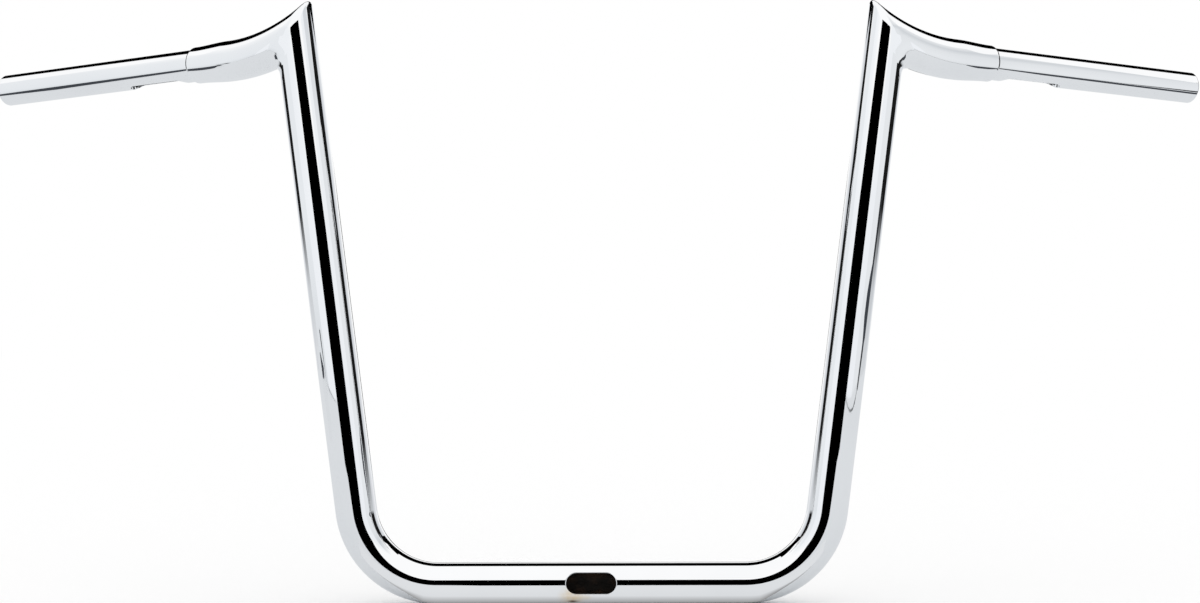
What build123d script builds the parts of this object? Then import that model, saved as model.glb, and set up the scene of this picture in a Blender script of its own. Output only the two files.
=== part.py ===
from build123d import *

import math
import os

# Pointed-top ape hanger handlebar, welded up from five steel tubes.
#
# One thick tube is bent into a tall U. The top of each riser is mitred to a bent arm of the
# same tube, which leaves a sharp point at the joint's inner top corner. A thinner control tube
# plugs into the end of each arm and carries the grip and levers. Slots let the wiring run inside.
#
# Frame: the origin is the middle of the base bar, on its axis. +X is the rider's left, +Y is
# towards the rider, and +Z is up the risers.

# Driving dimensions, in millimetres and degrees

# Thick tube of the U and the arms
TUBE_OD = 31.75
TUBE_WALL = 3.4

# U bend: base bar and risers
BASE_SPAN = 349.0  # between the two points where the base axis meets the riser axes
BASE_BEND_RADIUS = 63.5  # on the tube's axis
RISER_LEAN = 7.1  # outwards from vertical
RISE = 422.9  # base axis to the mitre's corner on the tube axis

# Arms: from the mitre, round a bend, to the control tube
ARM_START_DROP = 23.6  # below horizontal, at the mitre
ARM_START_SWEEP = 23.4  # back towards the rider, at the mitre
ARM_LEAD_MARGIN = 1.0  # straight tube left past the mitre's inner corner
ARM_BEND_RADIUS = 95.25  # on the tube's axis
ARM_END_STRAIGHT = 42.0
NOSE_TAPER = 1.5  # taken off the radius at the arm's outer end
NOSE_LENGTH = 34.0
NOSE_CHAMFER = 1.1

# Control tubes: the thin ends that carry the grips
GRIP_OD = 25.4
GRIP_WALL = 3.05
GRIP_LENGTH = 206.0  # outside the arm
GRIP_DROP = 2.8  # below horizontal
GRIP_SWEEP = 28.5  # back towards the rider
GRIP_END_CHAMFER = 0.8
SPIGOT_CLEARANCE = 0.1  # on the radius, in the arm's bore
SPIGOT_RELIEF = 4.0  # arm's straight end left empty behind the spigot

# Wiring slots
BASE_SLOT_LENGTH = 38.1
BASE_SLOT_WIDTH = 15.9
BASE_SLOT_TURN = 6.0  # from straight ahead, upwards
GRIP_SLOT_LENGTH = 59.0
GRIP_SLOT_WIDTH = 15.0
GRIP_SLOT_SETBACK = 10.0  # from the arm's end to the slot
GRIP_SLOT_TURN = 6.0  # from straight down, towards the rider

# Modelling allowance
CUT_MARGIN = 5.0  # spare tube past each mitre, cut away

# Worked-out sizes

TUBE_RADIUS = TUBE_OD / 2
TUBE_BORE = TUBE_RADIUS - TUBE_WALL
NOSE_RADIUS = TUBE_RADIUS - NOSE_TAPER
GRIP_RADIUS = GRIP_OD / 2
GRIP_BORE = GRIP_RADIUS - GRIP_WALL
SPIGOT_RADIUS = TUBE_BORE - SPIGOT_CLEARANCE
SPIGOT_LENGTH = ARM_END_STRAIGHT - SPIGOT_RELIEF

# A chamfer may not eat through the wall that it is on
CHAMFER_SHARE = 0.8
NOSE_EDGE = min(NOSE_CHAMFER, CHAMFER_SHARE * (NOSE_RADIUS - TUBE_BORE))
GRIP_EDGE = min(GRIP_END_CHAMFER, CHAMFER_SHARE * GRIP_WALL)


def heading(drop: float, sweep: float) -> Vector:
    """Unit direction on the +X side, dropped below horizontal and swept back, in degrees."""
    level = math.cos(math.radians(drop))
    return Vector(
        level * math.cos(math.radians(sweep)),
        level * math.sin(math.radians(sweep)),
        -math.sin(math.radians(drop)),
    )


# Axis points and directions of the +X side; the other side mirrors it
RISER_DIR = Vector(math.sin(math.radians(RISER_LEAN)), 0, math.cos(math.radians(RISER_LEAN)))
ARM_DIR = heading(ARM_START_DROP, ARM_START_SWEEP)
GRIP_DIR = heading(GRIP_DROP, GRIP_SWEEP)
BASE_CORNER = Vector(BASE_SPAN / 2, 0, 0)
MITRE_POINT = BASE_CORNER + RISER_DIR * (RISE / RISER_DIR.Z)
MITRE_PLANE = Plane(origin=MITRE_POINT, z_dir=RISER_DIR + ARM_DIR)
# The mitre runs this far along each tube's axis, to either side of its corner
MITRE_REACH = TUBE_RADIUS * math.tan(math.radians(RISER_DIR.get_angle(ARM_DIR) / 2))


def tube_ring(origin: Vector, direction: Vector) -> Sketch:
    """Section of the thick tube, square to its axis."""
    return Plane(origin=origin, z_dir=direction) * (Circle(TUBE_RADIUS) - Circle(TUBE_BORE))


def straight_tube(start: Vector, direction: Vector, length: float) -> Part:
    """Straight run of the thick tube."""
    return extrude(tube_ring(start, direction), amount=length, dir=direction)


def bend_path(start: Vector, along: Vector, towards: Vector, radius: float) -> Edge:
    """Arc of a bent tube's axis, from one direction round to another."""
    place = Plane(origin=start, x_dir=along, z_dir=along.cross(towards))
    return place * JernArc((0, 0), (1, 0), radius, along.get_angle(towards))


def slot_cutter(place: Plane, length: float, width: float) -> Part:
    """Cutter for a round-ended slot through one wall of a tube.

    place lies on the tube's axis, with its x along the tube and its z out through the wall.
    """
    return extrude(place * SlotOverall(length, width), amount=TUBE_OD)


def make_riser_tube() -> Part:
    """The U: base bar, two bends and two risers from one tube, mitred at both tops."""
    across = Vector(1, 0, 0)
    half_base = BASE_SPAN / 2 - BASE_BEND_RADIUS * math.tan(math.radians(across.get_angle(RISER_DIR) / 2))
    bend_start = Vector(half_base, 0, 0)
    bend = bend_path(bend_start, across, RISER_DIR, BASE_BEND_RADIUS)
    riser_start = bend @ 1
    riser_length = (MITRE_POINT - riser_start).length + MITRE_REACH + CUT_MARGIN
    side = sweep(tube_ring(bend_start, across), path=bend)
    side += straight_tube(riser_start, RISER_DIR, riser_length)
    side = split(side, bisect_by=MITRE_PLANE, keep=Keep.BOTTOM)
    tube = straight_tube(-bend_start, across, 2 * half_base) + side + mirror(side, about=Plane.YZ)
    turn = math.radians(BASE_SLOT_TURN)
    front = Plane(origin=(0, 0, 0), x_dir=across, z_dir=(0, -math.cos(turn), math.sin(turn)))
    return tube - slot_cutter(front, BASE_SLOT_LENGTH, BASE_SLOT_WIDTH)


def turned(place: Plane, outline: list[tuple[float, float]]) -> Part:
    """Solid turned about a plane's y axis from an outline of (radius, height) points."""
    face = make_face(Polyline(outline, close=True))
    return revolve(place * face, axis=Axis(place.origin, place.y_dir))


def axis_plane(origin: Vector) -> Plane:
    """Plane through the control tube's axis: its y runs out along the tube and its x is level."""
    level = GRIP_DIR.cross(Vector(0, 0, 1)).normalized()
    return Plane(origin=origin, x_dir=level, z_dir=level.cross(GRIP_DIR))


def arm_bend() -> Edge:
    """Arc of the arm's axis, which starts just past the mitre."""
    start = MITRE_POINT + ARM_DIR * (MITRE_REACH + ARM_LEAD_MARGIN)
    return bend_path(start, ARM_DIR, GRIP_DIR, ARM_BEND_RADIUS)


def make_arm() -> Part:
    """The +X arm: mitred lead, bend, and a straight socket that tapers to a chamfered nose."""
    bend = arm_bend()
    lead_start = MITRE_POINT - ARM_DIR * (MITRE_REACH + CUT_MARGIN)
    lead = straight_tube(lead_start, ARM_DIR, (bend @ 0 - lead_start).length)
    lead = split(lead, bisect_by=MITRE_PLANE, keep=Keep.TOP)
    nose = turned(
        axis_plane(bend @ 1),
        [
            (TUBE_BORE, 0),
            (TUBE_RADIUS, 0),
            (TUBE_RADIUS, ARM_END_STRAIGHT - NOSE_LENGTH),
            (NOSE_RADIUS, ARM_END_STRAIGHT - NOSE_EDGE),
            (NOSE_RADIUS - NOSE_EDGE, ARM_END_STRAIGHT),
            (TUBE_BORE, ARM_END_STRAIGHT),
        ],
    )
    return lead + sweep(tube_ring(bend @ 0, ARM_DIR), path=bend) + nose


def make_grip_tube() -> Part:
    """The +X control tube: a spigot turned to fit the arm's bore, a shoulder and the open grip end."""
    seam = arm_bend() @ 1 + GRIP_DIR * ARM_END_STRAIGHT
    tube = turned(
        axis_plane(seam),
        [
            (GRIP_BORE, -SPIGOT_LENGTH),
            (SPIGOT_RADIUS, -SPIGOT_LENGTH),
            (SPIGOT_RADIUS, 0),
            (GRIP_RADIUS, 0),
            (GRIP_RADIUS, GRIP_LENGTH - GRIP_EDGE),
            (GRIP_RADIUS - GRIP_EDGE, GRIP_LENGTH),
            (GRIP_BORE, GRIP_LENGTH),
        ],
    )
    slot_centre = seam + GRIP_DIR * (GRIP_SLOT_SETBACK + GRIP_SLOT_LENGTH / 2)
    level = GRIP_DIR.cross(Vector(0, 0, 1)).normalized()
    turn = math.radians(GRIP_SLOT_TURN)
    facing = GRIP_DIR.cross(level) * math.cos(turn) - level * math.sin(turn)
    underside = Plane(origin=slot_centre, x_dir=GRIP_DIR, z_dir=facing)
    return tube - slot_cutter(underside, GRIP_SLOT_LENGTH, GRIP_SLOT_WIDTH)


def main() -> None:
    """Builds the five tubes and writes one file for each."""
    arm = make_arm()
    grip_tube = make_grip_tube()
    pieces = {
        "riser_tube": make_riser_tube(),
        "left_arm": arm,
        "right_arm": mirror(arm, about=Plane.YZ),
        "left_grip_tube": grip_tube,
        "right_grip_tube": mirror(grip_tube, about=Plane.YZ),
    }
    os.makedirs("parts", exist_ok=True)
    for name, piece in pieces.items():
        piece.label = name
        export_step(piece, f"parts/{name}.step")


main()
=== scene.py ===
"""Dresses the pointed-top ape hanger handlebar: five chromed tubes in a plain white studio.

Each tube is drawn again as a fine mesh over its solid, with the rounded slot edges, the rounded
arm noses and the polished-out welds that the finished bar shows. Sizes are in millimetres, in the
frame of the solids: +X is the rider's left, +Y is towards the rider, and +Z is up.
"""

import logging
from dataclasses import dataclass
from enum import Enum
from math import acos, atan, atan2, cos, hypot, pi, radians, sin, tan

import bpy
import numpy as np
from bpy.types import Material, Node, NodeSocket, NodeTree, Object
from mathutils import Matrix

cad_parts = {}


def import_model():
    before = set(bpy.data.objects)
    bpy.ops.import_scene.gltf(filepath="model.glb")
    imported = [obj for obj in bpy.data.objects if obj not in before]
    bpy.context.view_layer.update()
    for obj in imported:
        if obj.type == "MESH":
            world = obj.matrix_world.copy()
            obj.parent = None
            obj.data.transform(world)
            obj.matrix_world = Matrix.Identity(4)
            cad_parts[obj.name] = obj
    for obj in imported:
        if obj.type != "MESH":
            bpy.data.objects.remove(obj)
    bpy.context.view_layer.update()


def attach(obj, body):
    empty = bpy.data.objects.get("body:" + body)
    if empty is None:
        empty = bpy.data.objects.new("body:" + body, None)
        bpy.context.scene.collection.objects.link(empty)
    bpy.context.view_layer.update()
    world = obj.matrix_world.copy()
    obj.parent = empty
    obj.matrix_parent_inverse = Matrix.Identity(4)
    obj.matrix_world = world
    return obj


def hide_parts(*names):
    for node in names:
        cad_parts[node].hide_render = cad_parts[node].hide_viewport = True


Point = tuple[float, float, float]
Edge = tuple[Point, ...]
Card = tuple[Edge, ...]
Path = tuple[tuple[float, float], ...]
Colour = tuple[float, float, float]
Scalar = float | NodeSocket
Sockets = dict[str, NodeSocket]
Inputs = dict[str | int, object]
Materials = list[Material]
Array = np.ndarray

LOG = logging.getLogger("handlebar")
BODY = "root"

MM = 0.001
TINY = 1e-6
COLUMNS = 128
COLUMN_TURN = 2.0 * pi / COLUMNS
RING = np.arange(COLUMNS) * COLUMN_TURN
QUARTER = pi / 2
SHARP_ANGLE = radians(40.0)

FRONT = np.array([0.0, -1.0, 0.0])
ACROSS = np.array([1.0, 0.0, 0.0])
UP = np.array([0.0, 0.0, 1.0])
MIRROR = np.array([-1.0, 1.0, 1.0])

# Heights of the studio's cards just over the floor, in metres, so that none lies in another
CARD_FOOT = -0.0158
LOW_CARD = -0.0157
MIDDLE_CARD = -0.01565
TOP_CARD = -0.0156

WHITE = (1.0, 1.0, 1.0)
# Tones of the studio's glowing cards, which only the chrome reflects: painted studio light and shade
GAP_BLACK = (0.01, 0.01, 0.01)
SILL_GREY = (0.05, 0.055, 0.065)
# Back cards grey at the foot and pale at the top: painted fall-off of light
BACK_FADE = ((0.62, 0.64, 0.67), (0.95, 0.96, 0.97))


class Side(Enum):
    """Side of the bar, as the rider sees it; the left is +X."""

    LEFT = "left"
    RIGHT = "right"


class Look(Enum):
    """Surface of a tube, with its place in the list of materials."""

    PLATED = 0
    BARE = 1


def unit(vector: Array) -> Array:
    """Vectors of length one along the last axis."""
    return vector / np.linalg.norm(vector, axis=-1, keepdims=True)


def heading(drop: float, sweep: float) -> Array:
    """Unit direction on the +X side, dropped below horizontal and swept back, in degrees."""
    down, back = radians(drop), radians(sweep)
    return np.array([cos(down) * cos(back), cos(down) * sin(back), -sin(down)])


def smooth_step(share: Array) -> Array:
    """Smooth rise from 0 to 1 as the share goes from 0 to 1."""
    held = np.clip(share, 0.0, 1.0)
    return held * held * (3.0 - 2.0 * held)


@dataclass(frozen=True)
class BarAxis:
    """Centre lines of the bar's +X side, which the other side mirrors.

    Sizes are in millimetres and degrees. The arm is one sweep of tube from the mitre to the seam of the
    solids, so its own sizes differ a little from theirs.
    """

    tube_radius: float = 15.875
    tube_bore: float = 12.475
    base_span: float = 349.0
    base_bend_radius: float = 63.5
    riser_lean: float = 7.1
    rise: float = 422.274
    arm_drop: float = 28.0
    arm_sweep: float = 21.78
    arm_bend_radius: float = 139.7
    arm_end_straight: float = 36.439
    grip_drop: float = 2.8
    grip_sweep: float = 28.5

    @property
    def riser_dir(self) -> Array:
        """Direction up the riser."""
        lean = radians(self.riser_lean)
        return np.array([sin(lean), 0.0, cos(lean)])

    @property
    def arm_dir(self) -> Array:
        """Direction out along the arm, at the mitre."""
        return heading(self.arm_drop, self.arm_sweep)

    @property
    def grip_dir(self) -> Array:
        """Direction out along the control tube."""
        return heading(self.grip_drop, self.grip_sweep)

    @property
    def mitre_point(self) -> Array:
        """Point where the riser's axis meets the arm's."""
        return ACROSS * self.base_span / 2 + self.riser_dir * (self.rise / self.riser_dir[2])

    @property
    def mitre_normal(self) -> Array:
        """Direction square to the mitre, from the riser towards the arm."""
        return unit(self.riser_dir + self.arm_dir)

    @property
    def mitre_half(self) -> float:
        """Half the angle between the riser and the arm, in radians."""
        return acos(float(self.riser_dir @ self.arm_dir)) / 2

    @property
    def mitre_origin(self) -> Array:
        """Point of the riser's axis on the mitre, raised to suit the arm's bend."""
        reach = self.tube_radius * tan(self.mitre_half)
        return self.mitre_point + self.riser_dir * (reach**2 / (2 * self.arm_bend_radius))

    @property
    def half_base(self) -> float:
        """Half the length of the straight base bar."""
        turn = radians(90.0 - self.riser_lean)
        return self.base_span / 2 - self.base_bend_radius * tan(turn / 2)

    @property
    def arm_turn(self) -> float:
        """Angle of the arm's bend past the mitre's point, in radians."""
        return acos(float(self.arm_dir @ self.grip_dir))

    @property
    def arm_binormal(self) -> Array:
        """Axis direction that the arm bends round."""
        return unit(np.cross(self.arm_dir, self.grip_dir))

    @property
    def arm_inward(self) -> Array:
        """Direction from the mitre's point to the centre of the arm's bend."""
        return np.cross(self.arm_binormal, self.arm_dir)

    @property
    def arm_bend_centre(self) -> Array:
        """Centre that the arm bends round."""
        return self.mitre_point + self.arm_inward * self.arm_bend_radius

    def arm_spoke(self, angle: Array) -> Array:
        """Directions from the centre of the arm's bend to its axis, at angles past the mitre's point."""
        turn = np.asarray(angle)[..., None]
        return np.sin(turn) * self.arm_dir - np.cos(turn) * self.arm_inward

    @property
    def seam(self) -> Array:
        """Point of the axis at the arm's outer end, where the control tube comes out."""
        stop = self.arm_bend_centre + self.arm_bend_radius * self.arm_spoke(np.array(self.arm_turn))
        return stop + self.grip_dir * self.arm_end_straight


class Skin:
    """Points, normals and four-sided faces of one tube, gathered ring by ring."""

    def __init__(self) -> None:
        """Starts with nothing gathered."""
        self.points: list[Array] = []
        self.normals: list[Array] = []
        self.faces: list[Array] = []
        self.looks: list[Array] = []
        self.count = 0

    def add(self, points: Array, normals: Array | None = None) -> Array:
        """Adds points, with the way that each faces.

        Args:
            points: Array of points, of any shape that ends in 3.
            normals: Unit normals of the same shape. Points with none take theirs from the faces.

        Returns:
            The points' numbers, in the shape of the array.
        """
        listed = points.reshape(-1, 3)
        self.points.append(listed)
        self.normals.append(np.zeros_like(listed) if normals is None else normals.reshape(-1, 3))
        numbers = np.arange(self.count, self.count + len(listed)).reshape(points.shape[:-1])
        self.count += len(listed)
        return numbers

    def grid(self, rows: Array | list[Array], look: Look, hole: tuple[slice, Array] | None = None) -> None:
        """Covers closed rings of points with bands of faces, which face out to the rings' right.

        Args:
            rows: Numbers of the points, one row for each ring.
            look: The surface that the faces belong to.
            hole: Rows and columns of the bands that are left open.
        """
        rows = np.stack(rows)
        after = np.roll(rows, -1, axis=1)
        faces = np.stack([rows[:-1], after[:-1], after[1:], rows[1:]], axis=2)
        keep = np.ones(faces.shape[:2], dtype=bool)
        if hole is not None:
            keep[hole[0]] = ~np.isin(np.arange(keep.shape[1]), hole[1])
        self.faces.append(faces[keep])
        self.looks.append(np.full(int(keep.sum()), look.value))

    def make(self, name: str, side: Side, materials: Materials) -> Object:
        """Makes the object from what was gathered.

        Args:
            name: The object's name.
            side: The side that it is for; the right side is mirrored.
            materials: Materials in the order of the looks.

        Returns:
            The object, linked to the scene.
        """
        gathered = (self.points, self.normals, self.faces, self.looks)
        points, normals, faces, looks = map(np.concatenate, gathered)
        if side is Side.RIGHT:
            points = points * MIRROR
            normals = normals * MIRROR
            faces = faces[:, ::-1]
        used, numbers = np.unique(faces, return_inverse=True)
        faces = numbers.reshape(faces.shape)
        mesh = bpy.data.meshes.new(name)
        mesh.from_pydata((points[used] * MM).tolist(), [], faces.tolist())
        for material in materials:
            mesh.materials.append(material)
        mesh.polygons.foreach_set("material_index", looks.astype(np.int32))
        mesh.polygons.foreach_set("use_smooth", np.ones(len(faces), dtype=bool))
        mesh.set_sharp_from_angle(angle=SHARP_ANGLE)
        facing = normals[used][faces]
        facing[looks == Look.BARE.value] = 0.0
        mesh.normals_split_custom_set(facing.reshape(-1, 3).tolist())
        mesh.update()
        piece = bpy.data.objects.new(name, mesh)
        bpy.context.scene.collection.objects.link(piece)
        return piece


def spokes(first: Array, along: Array, turn: float = 0.0) -> Array:
    """Outward directions of a ring's points, for each direction of the axis.

    Args:
        first: Direction that the ring's angles are counted from, square to the axis.
        along: Unit directions of the axis, one row for each ring.
        turn: Angle of the ring's first point, in radians.

    Returns:
        Unit directions, of shape rings by columns by 3.
    """
    angle = turn + RING[None, :, None]
    second = np.cross(along, first)[:, None, :]
    return np.cos(angle) * first + np.sin(angle) * second


@dataclass(frozen=True)
class PolishedWeld:
    """The mitred weld of a riser and its arm, ground and polished until no bead is left.

    The inner corner is filled by a small smooth fillet, and the outer corner keeps its point.
    """

    axis: BarAxis
    corner_fill: float = 10.0
    corner_rise: float = 0.9
    corner_falloff: float = 0.4
    point_round: float = 4.0
    point_rise: float = 0.6
    point_falloff: float = 2.0
    handover: float = 0.25
    band: float = 7.0
    reach: float = 45.0
    passes: int = 8
    step: float = 0.01

    def tube_distances(self, points: Array) -> tuple[Array, Array]:
        """Distances of points from the surfaces of the riser and of the arm's bend, outwards.

        Args:
            points: Points, of any shape that ends in 3.

        Returns:
            Distances from the riser and from the arm, in millimetres.
        """
        axis = self.axis
        offset = points - axis.mitre_point
        across = offset - (offset @ axis.riser_dir)[..., None] * axis.riser_dir
        from_centre = points - axis.arm_bend_centre
        height = from_centre @ axis.arm_binormal
        level = np.linalg.norm(from_centre - height[..., None] * axis.arm_binormal, axis=-1)
        riser = np.linalg.norm(across, axis=-1) - axis.tube_radius
        return riser, np.hypot(level - axis.arm_bend_radius, height) - axis.tube_radius

    def distance(self, points: Array) -> Array:
        """Distance of points from the polished surface, outwards.

        Args:
            points: Points, of any shape that ends in 3.

        Returns:
            Distances in millimetres, one for each point.
        """
        axis = self.axis
        to_corner = unit(axis.arm_dir - axis.riser_dir)
        corner = axis.tube_radius / cos(axis.mitre_half)
        share = ((points - axis.mitre_origin) @ to_corner) / corner
        side = (points - axis.mitre_origin) @ axis.mitre_normal
        beyond = np.maximum(np.abs(side) - self.band, 0.0)
        away = np.where(share > 0.0, self.corner_falloff * beyond * beyond, self.point_falloff * beyond)
        riser, arm = self.tube_distances(points)
        own = np.where(side < 0.0, riser, arm)
        other = np.where(side < 0.0, arm, riser)
        plain = own + 0.5 * (other - own) * (1.0 - smooth_step(np.abs(side) / self.band))
        fill = np.maximum(self.corner_fill * smooth_step(share / self.corner_rise), TINY)
        filled = np.minimum(own, other + away)
        filled -= np.maximum(fill - np.abs(own - other - away), 0.0) ** 2 / (4.0 * fill)
        ease = np.maximum(self.point_round * smooth_step(-share / self.point_rise), TINY)
        eased = np.maximum(own, other - away)
        eased += np.maximum(ease - np.abs(own - other + away), 0.0) ** 2 / (4.0 * ease)
        inner = smooth_step(share / self.handover)
        outer = smooth_step(-share / self.handover)
        return plain + inner * (filled - plain) + outer * (eased - plain)

    def slope(self, points: Array) -> Array:
        """Gradient of the distance.

        Args:
            points: Points, of any shape that ends in 3.

        Returns:
            Gradients, of the same shape.
        """
        parts = []
        for way in np.eye(3):
            ahead = self.distance(points + way * self.step)
            behind = self.distance(points - way * self.step)
            parts.append((ahead - behind) / (2.0 * self.step))
        return np.stack(parts, axis=-1)

    def settle(self, points: Array, normals: Array) -> tuple[Array, Array]:
        """Moves the points that are near the weld onto the polished surface.

        Points on the mitre stay on it, so that the two tubes end in the same line.

        Args:
            points: Points of a tube's outside, on the +X side.
            normals: Their unit normals.

        Returns:
            Points and normals of the same shape.
        """
        points = points.copy()
        normals = normals.copy()
        near = np.linalg.norm(points - self.axis.mitre_point, axis=-1) < self.reach
        moved = points[near]
        normal = self.axis.mitre_normal
        cut = np.abs((moved - self.axis.mitre_origin) @ normal) < TINY
        for _ in range(self.passes):
            slope = self.slope(moved)
            slope[cut] -= (slope[cut] @ normal)[:, None] * normal
            square = np.maximum((slope * slope).sum(axis=-1), TINY)
            moved = moved - slope * (self.distance(moved) / square)[..., None]
        points[near] = moved
        normals[near] = unit(self.slope(moved))
        return points, normals


@dataclass(frozen=True)
class WireSlot:
    """Round-ended slot through a tube's wall, with a rounded outer lip.

    It is cut in a block of the tube's grid, of so many rows in all and columns to each side.
    """

    length: float
    width: float
    lip: float
    turn: float
    margin: float
    rows: int
    columns: int
    rings: int = 10
    lip_rings: int = 6

    @property
    def reach(self) -> float:
        """Length of the block from the slot's middle to either end."""
        return self.length / 2 + self.margin

    def cut(
        self,
        skin: Skin,
        surfaces: tuple[Array, Array],
        first: int,
        stations: Array,
        frame: tuple[Array, Array, Array],
        radii: tuple[float, float],
    ) -> None:
        """Covers a tube with faces, with rings that close in on the slot from the block round it.

        Args:
            skin: The tube's points and faces.
            surfaces: Numbers of the outside's and the bore's points, row by row.
            first: First row of the block.
            stations: Each row's place along the tube, from the slot's middle.
            frame: Point of the axis at the slot's middle, direction of the axis, and direction that
                the slot faces, which is that of the first column.
            radii: The tube's outer radius and its bore.
        """
        outer, inner = surfaces
        origin, along, facing = frame
        radius, bore = radii
        last = first + self.rows
        sideways = np.cross(along, facing)
        columns = np.arange(-self.columns, self.columns + 1)
        edge = [(first, c) for c in columns[:-1]]
        edge += [(r, columns[-1]) for r in range(first, last)]
        edge += [(last, c) for c in columns[:0:-1]]
        edge += [(r, columns[0]) for r in range(last, first, -1)]
        edge_rows, edge_columns = np.array(edge).T
        place = stations[edge_rows]
        angle = edge_columns * COLUMN_TURN

        half = (self.length - self.width) / 2
        foot = np.clip(place, -half, half)
        ray = unit(np.stack([place - foot, radius * angle], axis=1))

        def on_tube(x: Array, turn: Array, size: float) -> tuple[Array, Array]:
            """Points at a place along and round the tube, and their outward directions."""
            out = np.cos(turn)[:, None] * facing + np.sin(turn)[:, None] * sideways
            return origin + x[:, None] * along + size * out, out

        def on_slot(offset: float, size: float) -> tuple[Array, Array]:
            """Places along and round a tube, at an offset from the slot's middle line."""
            return foot + ray[:, 0] * offset, np.arcsin(ray[:, 1] * offset / size)

        lip_x, lip_turn = on_slot(self.width / 2 + self.lip, radius)
        loops = [outer[edge_rows, edge_columns]]
        for step in range(1, self.rings + 1):
            share = step / self.rings
            x = place + (lip_x - place) * share
            loops.append(skin.add(*on_tube(x, angle + (lip_turn - angle) * share, radius)))
        inward = -(ray[:, :1] * along + ray[:, 1:] * sideways)
        for step in range(1, self.lip_rings + 1):
            turn = step / self.lip_rings * QUARTER
            x, around = on_slot(self.width / 2 + self.lip * (1.0 - sin(turn)), radius)
            points, out = on_tube(x, around, radius)
            points = points - facing * self.lip * (1.0 - cos(turn))
            loops.append(skin.add(points, unit(cos(turn) * out + sin(turn) * inward)))
        skin.grid(loops, Look.PLATED)

        bore_x, bore_turn = on_slot(self.width / 2, bore)
        walls = [skin.add(on_tube(bore_x, bore_turn, bore)[0], inward)]
        skin.grid([loops[-1], walls[0]], Look.PLATED)
        for step in range(1, self.rings):
            share = step / self.rings
            x = bore_x + (place - bore_x) * share
            walls.append(skin.add(on_tube(x, bore_turn + (angle - bore_turn) * share, bore)[0]))
        walls.append(inner[edge_rows, edge_columns])
        skin.grid(walls, Look.BARE)
        block = slice(first, last)
        taken = columns[:-1] % COLUMNS
        skin.grid(outer, Look.PLATED, (block, taken))
        skin.grid(inner[:, ::-1], Look.BARE, (block, (COLUMNS - 2 - taken) % COLUMNS))


@dataclass
class RiserTube:
    """The U of thick tube: base bar, two bends and two risers, mitred at both tops."""

    axis: BarAxis
    weld: PolishedWeld
    slot: WireSlot = WireSlot(38.1, 15.9, lip=0.9, turn=6.0, margin=13.0, rows=32, columns=22)
    base_rows: int = 11
    bend_rows: int = 48
    riser_rows: int = 12
    top_rows: int = 40
    top_length: float = 48.0
    top_crowding: float = 1.5
    node: str = "riser_tube"

    def half_rows(self, radius: float) -> tuple[Array, Array]:
        """Rows of points from the middle of the base bar to the +X mitre.

        Args:
            radius: Radius of the surface: the tube's outside or its bore.

        Returns:
            Points and their outward directions.
        """
        axis = self.axis
        lean = radians(90.0 - axis.riser_lean)
        block = self.slot.reach
        beside_slot = np.linspace(0.0, block, self.slot.rows // 2 + 1)
        base = np.concatenate([beside_slot, np.linspace(block, axis.half_base, self.base_rows + 1)[1:]])
        turn = np.linspace(0.0, lean, self.bend_rows + 1)[1:, None]
        centre = np.array([axis.half_base, 0.0, axis.base_bend_radius])
        bend_along = np.cos(turn) * ACROSS + np.sin(turn) * UP
        bend_points = centre + axis.base_bend_radius * (np.sin(turn) * ACROSS - np.cos(turn) * UP)
        centres = np.concatenate([base[:, None] * ACROSS, bend_points])
        along = np.concatenate([np.tile(ACROSS, (len(base), 1)), bend_along])
        first = -radians(self.slot.turn)
        out = spokes(FRONT, along, first)
        points = centres[:, None, :] + radius * out

        start = bend_points[-1]
        riser_out = spokes(FRONT, axis.riser_dir[None, :], first)[0]
        reach = (axis.mitre_origin - start - radius * riser_out) @ axis.mitre_normal
        reach = reach / (axis.riser_dir @ axis.mitre_normal)
        far = np.linspace(0.0, 1.0, self.riser_rows + 1)[1:]
        near = 1.0 - np.linspace(1.0, 0.0, self.top_rows + 1)[1:] ** self.top_crowding
        even = float((axis.mitre_point - start) @ axis.riser_dir) - self.top_length
        rows = [np.full(COLUMNS, even * share) for share in far]
        rows += [even + (reach - even) * share for share in near]
        top = start + np.stack(rows)[:, :, None] * axis.riser_dir + radius * riser_out
        top_out = np.tile(riser_out, (len(rows), 1, 1))
        return np.concatenate([points, top]), np.concatenate([out, top_out])

    def build(self, materials: Materials) -> Object:
        """Makes the tube's mesh.

        Args:
            materials: Materials in the order of the looks.

        Returns:
            The dressed piece.
        """
        skin = Skin()
        points, out = self.weld.settle(*self.half_rows(self.axis.tube_radius))
        outer = skin.add(
            np.concatenate([points[:0:-1] * MIRROR, points]),
            np.concatenate([out[:0:-1] * MIRROR, out]),
        )
        points, _ = self.half_rows(self.axis.tube_bore)
        inner = skin.add(np.concatenate([points[:0:-1] * MIRROR, points]))
        middle = len(points) - 1
        half = self.slot.rows // 2
        stations = (np.arange(len(outer)) - middle) * (self.slot.reach / half)
        turn = radians(self.slot.turn)
        frame = (np.zeros(3), ACROSS, cos(turn) * FRONT + sin(turn) * UP)
        radii = (self.axis.tube_radius, self.axis.tube_bore)
        self.slot.cut(skin, (outer, inner), middle - half, stations, frame, radii)
        skin.grid([outer[-1], inner[-1]], Look.BARE)
        skin.grid([inner[0], outer[0]], Look.BARE)
        return skin.make(f"{self.node}_chrome", Side.LEFT, materials)


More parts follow.
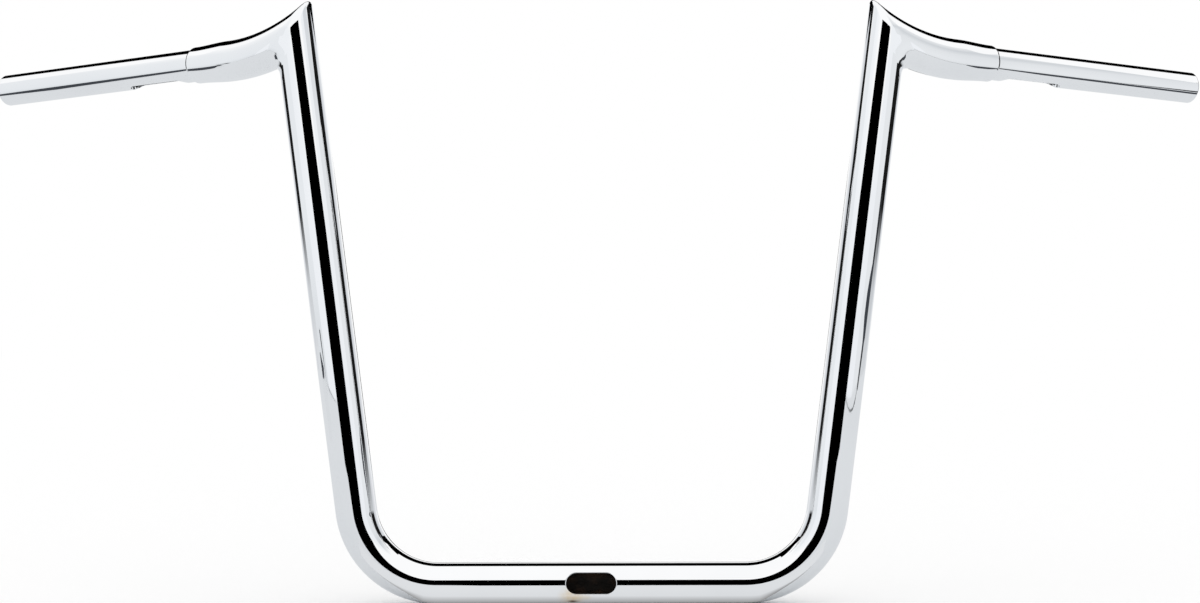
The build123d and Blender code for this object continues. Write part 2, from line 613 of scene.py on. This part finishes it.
@dataclass
class Arm:
    """Bent arm of thick tube, from the mitre to its rounded nose."""

    axis: BarAxis
    weld: PolishedWeld
    side: Side
    nose_taper: float = 1.5
    nose_length: float = 34.0
    nose_round: float = 1.5
    nose_edge: float = 2.7
    bend_rows: int = 72
    bend_crowding: float = 1.3
    taper_rows: int = 20
    edge_rows: int = 14

    @property
    def node(self) -> str:
        """Name of the solid that the mesh stands for."""
        return f"{self.side.value}_arm"

    def body_rows(self, radius: float) -> tuple[Array, Array]:
        """Rows of points from the mitre to where the nose starts.

        Args:
            radius: Radius of the surface: the tube's outside or its bore.

        Returns:
            Points and their outward directions.
        """
        axis = self.axis
        sideways = np.cos(RING)[:, None] * axis.arm_binormal
        outward = np.sin(RING)
        forward = float(axis.arm_dir @ axis.mitre_normal)
        across = float(axis.arm_inward @ axis.mitre_normal)
        level = (axis.mitre_origin - axis.arm_bend_centre - radius * sideways) @ axis.mitre_normal
        level = level / ((axis.arm_bend_radius + radius * outward) * hypot(forward, across))
        start = atan2(across, forward) + np.arcsin(level)
        share = np.linspace(0.0, 1.0, self.bend_rows + 1)[:, None] ** self.bend_crowding
        spoke = axis.arm_spoke(start + (axis.arm_turn - start) * share)
        out = sideways + outward[:, None] * spoke
        return axis.arm_bend_centre + axis.arm_bend_radius * spoke + radius * out, out

    def nose_profile(self) -> list[tuple[float, float, float]]:
        """Outline of the arm's straight end.

        Returns:
            Place along the axis from the seam, radius, and lean of the normal towards the end.
        """
        axis = self.axis
        start = -self.nose_length
        tip = -self.nose_edge
        rows = [(start, axis.tube_radius, 0.0)]
        for share in np.linspace(0.0, 1.0, self.taper_rows + 1)[1:]:
            place = start + (tip - start) * share
            slope = 6.0 * self.nose_taper * share * (1.0 - share) / (tip - start)
            drop = self.nose_taper * share * share * (3.0 - 2.0 * share)
            rows.append((place, axis.tube_radius - drop, atan(slope)))
        end = axis.tube_radius - self.nose_taper
        for turn in np.linspace(0.0, QUARTER, self.edge_rows + 1)[1:]:
            radius = end - self.nose_round * (1.0 - cos(turn))
            lean = atan2(self.nose_round * sin(turn), self.nose_edge * cos(turn))
            rows.append((tip + self.nose_edge * sin(turn), radius, lean))
        return rows

    def build(self, materials: Materials) -> Object:
        """Makes the arm's mesh.

        Args:
            materials: Materials in the order of the looks.

        Returns:
            The dressed piece.
        """
        axis = self.axis
        skin = Skin()
        points, out = self.weld.settle(*self.body_rows(axis.tube_radius))
        end_out = spokes(axis.arm_binormal, axis.grip_dir[None, :])[0]
        profile = self.nose_profile()
        nose = [axis.seam + place * axis.grip_dir + radius * end_out for place, radius, _ in profile]
        lean = [cos(angle) * end_out + sin(angle) * axis.grip_dir for _, _, angle in profile]
        outer = skin.add(np.concatenate([points, np.stack(nose)]), np.concatenate([out, np.stack(lean)]))
        points, _ = self.body_rows(axis.tube_bore)
        end = axis.seam + axis.tube_bore * end_out
        inner = skin.add(np.concatenate([points, end[None]]))
        skin.grid(outer, Look.PLATED)
        skin.grid([outer[-1], inner[-1]], Look.BARE)
        skin.grid(inner[::-1], Look.BARE)
        skin.grid([inner[0], outer[0]], Look.BARE)
        return skin.make(f"{self.node}_chrome", self.side, materials)


@dataclass
class GripTube:
    """Thin control tube with its spigot, its wire slot underneath and its open end."""

    axis: BarAxis
    side: Side
    radius: float = 12.7
    bore: float = 9.65
    length: float = 206.0
    end_round: float = 1.0
    spigot_radius: float = 12.375
    spigot_length: float = 38.0
    slot: WireSlot = WireSlot(59.0, 15.0, lip=0.6, turn=8.0, margin=5.0, rows=34, columns=26)
    slot_setback: float = 10.0
    free_rows: int = 13
    end_rows: int = 7

    @property
    def node(self) -> str:
        """Name of the solid that the mesh stands for."""
        return f"{self.side.value}_grip_tube"

    def build(self, materials: Materials) -> Object:
        """Makes the control tube's mesh.

        Args:
            materials: Materials in the order of the looks.

        Returns:
            The dressed piece.
        """
        axis = self.axis
        along = axis.grip_dir
        level = unit(np.cross(along, UP))
        turn = radians(self.slot.turn)
        below = np.cross(along, level) * cos(turn) - level * sin(turn)
        out = spokes(below, along[None, :])[0]

        def row(place: float | Array, radius: float) -> Array:
            """Rings of points at places along the tube from the seam."""
            return axis.seam + place * along + radius * out

        skin = Skin()
        middle = self.slot_setback + self.slot.length / 2
        block = self.slot.reach
        straight_end = self.length - self.end_round
        slot_places = np.linspace(middle - block, middle + block, self.slot.rows + 1)
        free_places = np.linspace(middle + block, straight_end, self.free_rows + 1)[1:]
        places = np.concatenate([[0.0], slot_places, free_places])
        rows = places[:, None, None]
        outer = skin.add(row(rows, self.radius), np.tile(out, (len(places), 1, 1)))
        inner = skin.add(row(rows, self.bore))
        frame = (axis.seam + middle * along, along, below)
        self.slot.cut(skin, (outer, inner), 1, places - middle, frame, (self.radius, self.bore))
        rings = [outer[-1]]
        for turn in np.linspace(0.0, QUARTER, self.end_rows + 1)[1:]:
            place = straight_end + self.end_round * sin(turn)
            radius = self.radius - self.end_round * (1.0 - cos(turn))
            facing = cos(turn) * out + sin(turn) * along
            rings.append(skin.add(row(place, radius), facing))
        skin.grid(rings, Look.PLATED)
        bore_end = skin.add(row(self.length, self.bore))
        skin.grid([rings[-1], bore_end, inner[-1]], Look.BARE)
        bore_start = skin.add(row(-self.spigot_length, self.bore))
        spigot_start = skin.add(row(-self.spigot_length, self.spigot_radius))
        spigot_stop = skin.add(row(0.0, self.spigot_radius))
        skin.grid([inner[0], bore_start, spigot_start, spigot_stop, outer[0]], Look.BARE)
        return skin.make(f"{self.node}_chrome", self.side, materials)


@dataclass(frozen=True)
class Shading:
    """Nodes of one material or group, made and wired by name."""

    tree: NodeTree

    def feed(self, node: Node, inputs: Inputs) -> None:
        """Sets a node's inputs.

        Args:
            node: The node.
            inputs: For each input, by name or number, the socket that feeds it or a plain value.
        """
        for key, value in inputs.items():
            if isinstance(value, NodeSocket):
                self.tree.links.new(value, node.inputs[key])
            else:
                node.inputs[key].default_value = value

    def node(self, kind: str, inputs: Inputs | None = None, **settings: object) -> Node:
        """Adds a node.

        Args:
            kind: The node's type.
            inputs: Its inputs, as for feed.
            settings: Its own settings, which are set first.

        Returns:
            The node.
        """
        made = self.tree.nodes.new(kind)
        for name, value in settings.items():
            setattr(made, name, value)
        self.feed(made, inputs or {})
        return made

    def place(self) -> NodeSocket:
        """Place on the object, in metres."""
        return self.node("ShaderNodeTexCoord").outputs["Object"]

    def noise(self, scale: Scalar, detail: Scalar, roughness: float = 0.5) -> NodeSocket:
        """Value of a noise that is fixed to the object, from 0 to 1."""
        inputs = {"Vector": self.place(), "Scale": scale, "Detail": detail, "Roughness": roughness}
        return self.node("ShaderNodeTexNoise", inputs).outputs["Fac"]

    def multiply(self, first: NodeSocket, second: NodeSocket) -> NodeSocket:
        """Product of two values."""
        return self.node("ShaderNodeMath", {0: first, 1: second}, operation="MULTIPLY").outputs[0]

    def mix(self, share: NodeSocket, first: Colour | NodeSocket, second: Colour) -> NodeSocket:
        """Mixes two colours.

        Args:
            share: Share of the second colour, from 0 to 1.
            first: The colour at 0.
            second: The colour at 1.

        Returns:
            The mixed colour.
        """
        start = first if isinstance(first, NodeSocket) else (*first, 1.0)
        inputs = {"Factor": share, "A": start, "B": (*second, 1.0)}
        return self.node("ShaderNodeMix", inputs, data_type="RGBA").outputs["Result"]

    def bump(self, height: NodeSocket, strength: float, distance: float) -> NodeSocket:
        """Normal of a surface with fine relief."""
        inputs = {"Height": height, "Strength": strength, "Distance": distance}
        return self.node("ShaderNodeBump", inputs).outputs["Normal"]

    def effect(self, shared: "type[SharedEffect]", inputs: Inputs) -> Sockets:
        """Adds a shared effect, and gives its outputs by name."""
        used = self.node("ShaderNodeGroup", inputs, node_tree=shared.group())
        return {socket.name: socket for socket in used.outputs}


class SharedEffect:
    """Effect that more than one material uses, built as one group of nodes."""

    NAME = ""
    INPUTS: dict[str, float] = {}

    @classmethod
    def results(cls, net: Shading, given: Sockets) -> Sockets:
        """Lays out the effect's nodes.

        Args:
            net: The group's nodes.
            given: The group's inputs, by name.

        Returns:
            What each output puts out, by name.
        """
        raise NotImplementedError

    @classmethod
    def group(cls) -> NodeTree:
        """Builds the group once, and gives it back after that.

        Returns:
            The group.
        """
        found = bpy.data.node_groups.get(cls.NAME)
        if found is not None:
            return found
        tree = bpy.data.node_groups.new(cls.NAME, "ShaderNodeTree")
        for name, value in cls.INPUTS.items():
            socket = tree.interface.new_socket(name, in_out="INPUT", socket_type="NodeSocketFloat")
            socket.default_value = value
        net = Shading(tree)
        results = cls.results(net, {socket.name: socket for socket in net.node("NodeGroupInput").outputs})
        for name in results:
            tree.interface.new_socket(name, in_out="OUTPUT", socket_type="NodeSocketFloat")
        net.node("NodeGroupOutput", results)
        return tree


class PolishMarks(SharedEffect):
    """Marks of a polished or drawn tube: faint haze, fine hairlines and a slow ripple."""

    NAME = "polish_marks"
    INPUTS = {"Haze Scale": 60.0, "Low": 0.02, "High": 0.06}

    @classmethod
    def results(cls, net: Shading, given: Sockets) -> Sockets:
        """Lays out the marks, as the base class says."""
        haze = net.noise(given["Haze Scale"], detail=5.0, roughness=0.62)
        hairlines = net.noise(scale=2600.0, detail=2.0)
        span = {"From Min": 0.12, "From Max": 0.40, "To Min": given["Low"], "To Max": given["High"]}
        inputs = {"Value": net.multiply(haze, hairlines), **span}
        roughness = net.node("ShaderNodeMapRange", inputs).outputs["Result"]
        return {"Roughness": roughness, "Ripple": net.noise(scale=38.0, detail=1.0)}


class Patches(SharedEffect):
    """Soft patches: a mask that rises from Low to 1 as the noise goes from Start to Stop."""

    NAME = "patches"
    INPUTS = {"Scale": 14.0, "Detail": 3.0, "Start": 0.35, "Stop": 0.70, "Low": 0.0}

    @classmethod
    def results(cls, net: Shading, given: Sockets) -> Sockets:
        """Lays out the patches, as the base class says."""
        height = net.noise(given["Scale"], given["Detail"])
        span = {"From Min": given["Start"], "From Max": given["Stop"], "To Min": given["Low"]}
        mask = net.node("ShaderNodeMapRange", {"Value": height, **span}).outputs["Result"]
        return {"Mask": mask, "Height": height}


def new_material(name: str) -> tuple[Material, Shading, Node]:
    """Makes a material with its shader.

    Args:
        name: The material's name.

    Returns:
        The material, its nodes, and its Principled shader.
    """
    material = bpy.data.materials.new(name)
    material.use_nodes = True
    return material, Shading(material.node_tree), material.node_tree.nodes["Principled BSDF"]


@dataclass(frozen=True)
class TintPatch:
    """Soft patch of colour laid over the plating, fading out from its middle.

    Place and half sizes are in millimetres, in the frame of the solids.
    """

    place: Point
    size: Point
    colour: Colour
    strength: float

    def over(self, net: Shading, plated: NodeSocket) -> NodeSocket:
        """Lays the patch over the plating.

        Args:
            net: The material's nodes.
            plated: Colour of the plating so far.

        Returns:
            Colour of the plating with the patch over it.
        """
        spot = net.place()
        for operation, values in (("SUBTRACT", self.place), ("DIVIDE", self.size)):
            inputs = {0: spot, 1: tuple(value * MM for value in values)}
            spot = net.node("ShaderNodeVectorMath", inputs, operation=operation).outputs["Vector"]
        away = net.node("ShaderNodeVectorMath", {0: spot}, operation="LENGTH").outputs["Value"]
        inputs = {"Value": away, "To Min": self.strength, "To Max": 0.0}
        fade = net.node("ShaderNodeMapRange", inputs, interpolation_type="SMOOTHSTEP").outputs["Result"]
        patchy = net.effect(Patches, {"Scale": 240.0, "Start": 0.30, "Stop": 0.60, "Low": 0.55})
        return net.mix(net.multiply(fade, patchy["Mask"]), plated, self.colour)


@dataclass(frozen=True)
class ChromePlate:
    """Bright chrome plating, with a faint bloom in its tint and a slow polish ripple."""

    name: str = "bright_chrome"
    bright: Colour = (0.970, 0.976, 0.985)
    bloom: Colour = (0.940, 0.948, 0.960)
    low: float = 0.015
    high: float = 0.045
    ripple: float = 0.014
    ripple_depth: float = 0.0005
    tint_patches: tuple[TintPatch, ...] = ()

    def material(self) -> Material:
        """Builds the finish.

        Returns:
            The material.
        """
        material, net, shader = new_material(self.name)
        plated = net.mix(net.effect(Patches, {})["Mask"], self.bright, self.bloom)
        for tint_patch in self.tint_patches:
            plated = tint_patch.over(net, plated)
        marks = net.effect(PolishMarks, {"Low": self.low, "High": self.high})
        normal = net.bump(marks["Ripple"], self.ripple, self.ripple_depth)
        inputs = {"Metallic": 1.0, "Base Color": plated, "Roughness": marks["Roughness"], "Normal": normal}
        net.feed(shader, inputs)
        return material


@dataclass(frozen=True)
class BareSteel:
    """Raw drawn steel inside the tubes, with a little rust; its near-black tone is partly the steel's own
    colour and partly painted shade of the tubes' insides.
    """

    name: str = "bare_steel_bore"
    # Near-black steel colour with painted shade of the tube's inside in it
    dark: Colour = (0.020, 0.014, 0.010)
    rust: Colour = (0.070, 0.032, 0.014)
    metallic: float = 0.35
    low: float = 0.45
    high: float = 0.75
    relief: float = 0.25
    relief_depth: float = 0.0003

    def material(self) -> Material:
        """Builds the finish.

        Returns:
            The material.
        """
        material, net, shader = new_material(self.name)
        patches = net.effect(Patches, {"Scale": 120.0, "Detail": 6.0, "Start": 0.42, "Stop": 0.72})
        marks = net.effect(PolishMarks, {"Haze Scale": 180.0, "Low": self.low, "High": self.high})
        inputs = {
            "Metallic": self.metallic,
            "Base Color": net.mix(patches["Mask"], self.dark, self.rust),
            "Roughness": marks["Roughness"],
            "Normal": net.bump(patches["Height"], self.relief, self.relief_depth),
        }
        net.feed(shader, inputs)
        return material


def standing(path: Path, *heights: float | tuple[float, ...]) -> Card:
    """Edges of a card over a path, one for each height or row of heights, in metres."""
    rows = (np.broadcast_to(height, len(path)).tolist() for height in heights)
    return tuple(tuple((x, y, z) for (x, y), z in zip(path, row)) for row in rows)


def lying(height: float, *paths: Path) -> Card:
    """Edges of a card that lies at one height, one for each path, in metres."""
    return tuple(tuple((x, y, height) for x, y in path) for path in paths)


def canopy(height: float, back: float, *front: tuple[float, float]) -> Card:
    """Edges of a card that lies at one height, from a path in front to a straight back, in metres."""
    return lying(height, front, tuple((x, back) for x, _ in front))


def beside(*rows: tuple[float, float, float, float]) -> Card:
    """Edges of a card beside the bar, one for each x, front y, back y and height, in metres."""
    return tuple(((x, front, z), (x, back, z)) for x, front, back, z in rows)


@dataclass(frozen=True)
class Flag:
    """Plain glowing card that shows only in the chrome: painted studio light and shade in its reflections.

    Its edges run side by side through the same number of points. It has one colour all over, or one
    for each edge that fades into the next.
    """

    name: str
    edges: Card
    colours: tuple[Colour, ...] = ((0.0, 0.0, 0.0),)

    def build(self) -> None:
        """Makes the card, hidden from the camera, the diffuse light and the shadows."""
        count = len(self.edges[0])
        starts = [row * count + n for row in range(len(self.edges) - 1) for n in range(count - 1)]
        faces = [(n, n + 1, n + count + 1, n + count) for n in starts]
        mesh = bpy.data.meshes.new(self.name)
        mesh.from_pydata([point for edge in self.edges for point in edge], [], faces)
        tints = self.colours * (len(self.edges) // len(self.colours))
        shade = mesh.color_attributes.new(name="shade", type="FLOAT_COLOR", domain="POINT")
        shade.data.foreach_set("color", [value for tint in tints for value in (*tint, 1.0) * count])
        material, net, _ = new_material(self.name)
        net.tree.nodes.clear()
        tint = net.node("ShaderNodeVertexColor", layer_name="shade").outputs["Color"]
        glow = net.node("ShaderNodeEmission", {"Color": tint}).outputs[0]
        net.node("ShaderNodeOutputMaterial", {"Surface": glow})
        mesh.materials.append(material)
        card = bpy.data.objects.new(self.name, mesh)
        bpy.context.scene.collection.objects.link(card)
        for sight in ("camera", "diffuse", "shadow", "transmission"):
            setattr(card, f"visible_{sight}", False)


# Cards of the studio, in metres; left and right are the photograph's
# Their glow is painted light and shade of the studio, which only the chrome reflects
STUDIO_CARDS = (
    Flag(
        "front_window",
        (
            ((-0.53, -1.0, CARD_FOOT), (-0.53, -1.0, 0.44), (-1.3, -2.8, 1.22)),
            ((0.57, -1.0, CARD_FOOT), (0.57, -1.0, 0.44), (1.35, -2.8, 1.22)),
        ),
    ),
    Flag("front_floor", lying(LOW_CARD, ((-0.1, -0.17), (-0.4, -1.0)), ((0.12, -0.17), (0.44, -1.0)))),
    # Floor seen in the base's reflection, its greys darkening towards the base's foot: painted contact
    # shadow
    Flag(
        "near_floor_painted_shadow",
        lying(
            MIDDLE_CARD,
            ((-0.26, -0.165), (-0.13, -0.165), (0.13, -0.165), (0.26, -0.165)),
            ((-0.23, -0.06), (-0.13, -0.03), (0.13, -0.03), (0.23, -0.06)),
            *(((-0.2, -0.045), (-0.13, y), (0.13, y), (0.2, -0.045)) for y in (-0.0165, -0.011, -0.005)),
        ),
        (*[(0.75, 0.765, 0.78)] * 2, (0.73, 0.745, 0.76), (0.52, 0.53, 0.54), (0.28, 0.28, 0.28)),
    ),
    Flag(
        "left_gap",
        beside(
            *((-1.45, 0.1, 0.8, height) for height in (0.02, 0.1, 0.21, 0.6)),
            (-1.45, 0.24, 0.85, 0.92),
            (-1.45, 0.55, 0.95, 1.2),
            (-1.5, 1.05, 1.8, 1.5),
        ),
        ((0.7, 0.72, 0.74), (0.62, 0.64, 0.66), *[GAP_BLACK] * 5),
    ),
    Flag(
        "right_gap",
        beside(
            *((1.3, -0.06, 0.8, height) for height in (CARD_FOOT, 0.1, 0.21, 0.76)),
            (1.3, 0.14, 0.8, 0.95),
            (1.3, 0.38, 0.85, 1.18),
            (1.5, 0.95, 1.8, 1.5),
        ),
        ((0.66, 0.68, 0.7), (0.58, 0.6, 0.62), *[GAP_BLACK] * 5),
    ),
    Flag("overhead_gap", canopy(1.5, 2.6, (-1.6, 1.05), (-0.9, 0.72), (0.9, 0.72), (1.6, 0.95))),
    Flag("left_overhead", canopy(0.9, 1.6, (-0.45, 0.14), (-0.72, 0.3), (-0.86, 0.42), (-1.4, 0.72))),
    Flag("right_overhead", canopy(0.9, 1.6, (0.45, 0.23), (0.62, 0.31), (0.86, 0.42), (1.4, 0.68))),
    # Panels grey at the foot and white at the top: painted fall-off of light, as on the front panels
    Flag(
        "left_panel",
        standing(((-1.27, -0.7), (-1.37, -0.4), (-1.44, 0.1)), CARD_FOOT, 0.2, 0.95, 1.6),
        ((0.72, 0.745, 0.77), (0.81, 0.835, 0.86), (0.84, 0.86, 0.88), WHITE),
    ),
    Flag(
        "right_panel",
        standing(((1.08, -0.7), (1.2, -0.42), (1.28, -0.06)), CARD_FOOT, 0.2, 0.65, 0.95, 1.6),
        ((0.79, 0.81, 0.83), (0.81, 0.83, 0.85), (0.77, 0.79, 0.81), (0.64, 0.665, 0.69), WHITE),
    ),
    Flag(
        "left_front_panel",
        standing(
            ((-0.87, -2.06), (-1.065, -1.33), (-1.27, -0.7)),
            CARD_FOOT,
            (0.3, 0.6, 0.95),
            (0.45, 0.98, 1.6),
        ),
        ((0.87, 0.89, 0.92), (0.91, 0.93, 0.95), WHITE),
    ),
    Flag(
        "right_front_panel",
        standing(((0.83, -1.76), (0.9, -1.5), (1.08, -0.7)), CARD_FOOT, (0.3, 0.3, 0.95), (0.45, 0.45, 1.6)),
        ((0.87, 0.89, 0.92), (0.88, 0.9, 0.92), WHITE),
    ),
    Flag(
        "left_skirt",
        lying(
            TOP_CARD,
            ((-0.825, -2.19), (-1.045, -1.33), (-1.24, -0.68), (-1.335, -0.5)),
            ((-0.835, -2.19), (-1.058, -1.33), (-1.262, -0.7), (-1.36, -0.57)),
        ),
        ((0.25, 0.26, 0.27),),
    ),
    Flag(
        "left_seam",
        beside((-1.345, -0.56, -0.45, TOP_CARD), (-1.35, -0.53, -0.35, 0.03), (-1.352, -0.5, -0.32, 0.055)),
        ((0.2, 0.21, 0.22), *[(0.04, 0.042, 0.045)] * 2),
    ),
    Flag(
        "left_sill",
        (
            ((-1.24, -0.33, LOW_CARD), (-1.35, -0.36, 0.0)),
            ((-0.99, -0.1, LOW_CARD), (-1.39, -0.05, 0.02)),
            ((-0.99, 0.05, LOW_CARD), (-1.39, 0.05, 0.02)),
        ),
        (SILL_GREY,),
    ),
    Flag(
        "left_kerb",
        standing(((-1.03, -0.26), (-0.91, -0.12), (-0.91, 0.12)), CARD_FOOT, 0.055),
        ((0.7, 0.72, 0.74),),
    ),
    Flag(
        "right_skirt",
        lying(
            TOP_CARD,
            ((0.825, -1.71), (0.93, -1.0), (0.985, -0.55), (1.035, -0.29), (1.1, -0.14), (1.19, -0.09)),
            ((0.835, -1.75), (0.94, -1.02), (1.002, -0.56), (1.055, -0.31), (1.13, -0.18), (1.21, -0.12)),
        ),
        ((0.12, 0.125, 0.13),),
    ),
    Flag(
        "right_seam",
        beside(
            (1.2, -0.15, 0.02, TOP_CARD),
            (1.21, -0.13, 0.08, 0.03),
            (1.21, -0.08, 0.14, 0.1),
            (1.21, -0.06, 0.17, 0.16),
            (1.21, -0.03, 0.24, 0.23),
        ),
        ((0.12, 0.125, 0.13), *[(0.03, 0.032, 0.035)] * 4),
    ),
    Flag(
        "right_sill",
        standing(
            ((0.84, 0.09), (0.787, 0.023), (0.74, -0.05), (0.735, -0.1), (0.728, -0.16)),
            (0.1, 0.1, 0.1, 0.12, 0.138),
            (0.19, 0.19, 0.19, 0.18, 0.162),
        ),
        (SILL_GREY,),
    ),
    Flag(
        "left_back",
        (((-1.45, 0.8, CARD_FOOT), (-1.45, 0.8, 1.1)), ((-1.4, 2.6, CARD_FOOT), (-1.4, 2.6, 1.1))),
        BACK_FADE,
    ),
    Flag(
        "right_back",
        (((1.3, 0.8, CARD_FOOT), (1.3, 0.8, 1.1)), ((1.25, 2.6, CARD_FOOT), (1.25, 2.6, 1.1))),
        BACK_FADE,
    ),
    Flag("back_window", standing(((-0.4, 2.2), (0.4, 2.2)), CARD_FOOT, 0.5)),
)


@dataclass
class Studio:
    """White studio: floor, white surround, cards for the chrome to show, and the camera."""

    floor_height: float = -15.9
    floor_size: float = 12.0
    floor_colour: Colour = (0.72, 0.74, 0.76)
    camera_place: Point = (0.0767, -1.6, 0.2285)
    camera_roll: float = 0.13
    focal_pixels: float = 2076.8
    image_width: float = 1200.0
    sensor_width: float = 36.0
    shift: tuple[float, float] = (-0.0758, -0.0129)
    flags: tuple[Flag, ...] = STUDIO_CARDS

    def build(self) -> None:
        """Makes the whole studio."""
        self.build_world()
        self.build_floor()
        for flag in self.flags:
            flag.build()
        self.build_camera()

    def build_world(self) -> None:
        """White surround of plain strength, which is also the background."""
        world = bpy.data.worlds.new("white_studio")
        world.use_nodes = True
        surround = world.node_tree.nodes["Background"]
        Shading(world.node_tree).feed(surround, {"Color": (*WHITE, 1.0), "Strength": 1.0})
        bpy.context.scene.world = world
        bpy.context.scene.view_settings.view_transform = "Standard"

    def build_floor(self) -> None:
        """Pale floor that the base bar stands on, white where the camera sees it."""
        half = self.floor_size / 2
        ends = ((-half, -half), (half, -half), (half, half), (-half, half))
        mesh = bpy.data.meshes.new("studio_floor")
        mesh.from_pydata([(x, y, self.floor_height * MM) for x, y in ends], [], [(0, 1, 2, 3)])
        material, net, shader = new_material("pale_floor")
        seen = net.node("ShaderNodeLightPath").outputs["Is Camera Ray"]
        colour = net.mix(seen, self.floor_colour, WHITE)
        net.feed(shader, {"Base Color": colour, "Roughness": 1.0, "Specular IOR Level": 0.0})
        mesh.materials.append(material)
        floor = bpy.data.objects.new("studio_floor", mesh)
        bpy.context.scene.collection.objects.link(floor)

    def build_camera(self) -> None:
        """Camera at the photograph's place and framing."""
        data = bpy.data.cameras.new("studio_camera")
        data.sensor_width = self.sensor_width
        data.lens = self.focal_pixels / self.image_width * self.sensor_width
        data.shift_x, data.shift_y = self.shift
        camera = bpy.data.objects.new("studio_camera", data)
        camera.location = self.camera_place
        camera.rotation_mode = "XYZ"
        camera.rotation_euler = (radians(90.0), radians(self.camera_roll), 0.0)
        bpy.context.scene.collection.objects.link(camera)
        bpy.context.scene.camera = camera


@dataclass
class Handlebar:
    """The whole bar: the U, two arms and two control tubes."""

    axis: BarAxis = BarAxis()
    # Tan patches and a small dark-brown spot on the base's plating, below its slot
    tint_patches: tuple[TintPatch, ...] = (
        TintPatch((-15.0, -12.5, -9.8), (13.0, 13.0, 13.0), (0.86, 0.68, 0.44), 0.9),
        TintPatch((-6.0, -12.8, -9.4), (10.0, 4.0, 4.0), (0.90, 0.78, 0.58), 0.7),
        TintPatch((-14.0, -9.5, -12.9), (6.5, 3.2, 2.4), (0.07, 0.03, 0.01), 1.0),
    )

    def build(self) -> list[Object]:
        """Makes and dresses each tube, and sets it in place of its solid.

        Returns:
            The pieces.
        """
        bore = BareSteel().material()
        chrome = [ChromePlate().material(), bore]
        tinted = [ChromePlate(name="bright_chrome_base", tint_patches=self.tint_patches).material(), bore]
        weld = PolishedWeld(self.axis)
        tubes = [(RiserTube(self.axis, weld), tinted)]
        for side in Side:
            tubes.append((Arm(self.axis, weld, side), chrome))
            tubes.append((GripTube(self.axis, side), chrome))
        pieces = []
        for tube, materials in tubes:
            piece = tube.build(materials)
            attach(piece, BODY)
            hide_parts(tube.node)
            pieces.append(piece)
        return pieces


def main() -> None:
    """Loads the solids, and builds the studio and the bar."""
    logging.basicConfig(level=logging.INFO, format="%(name)s: %(message)s")
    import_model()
    Studio().build()
    LOG.info("studio ready")
    for piece in Handlebar().build():
        LOG.info("%s: %d faces", piece.name, len(piece.data.polygons))
    bpy.context.view_layer.update()


if __name__ == "__main__":
    main()
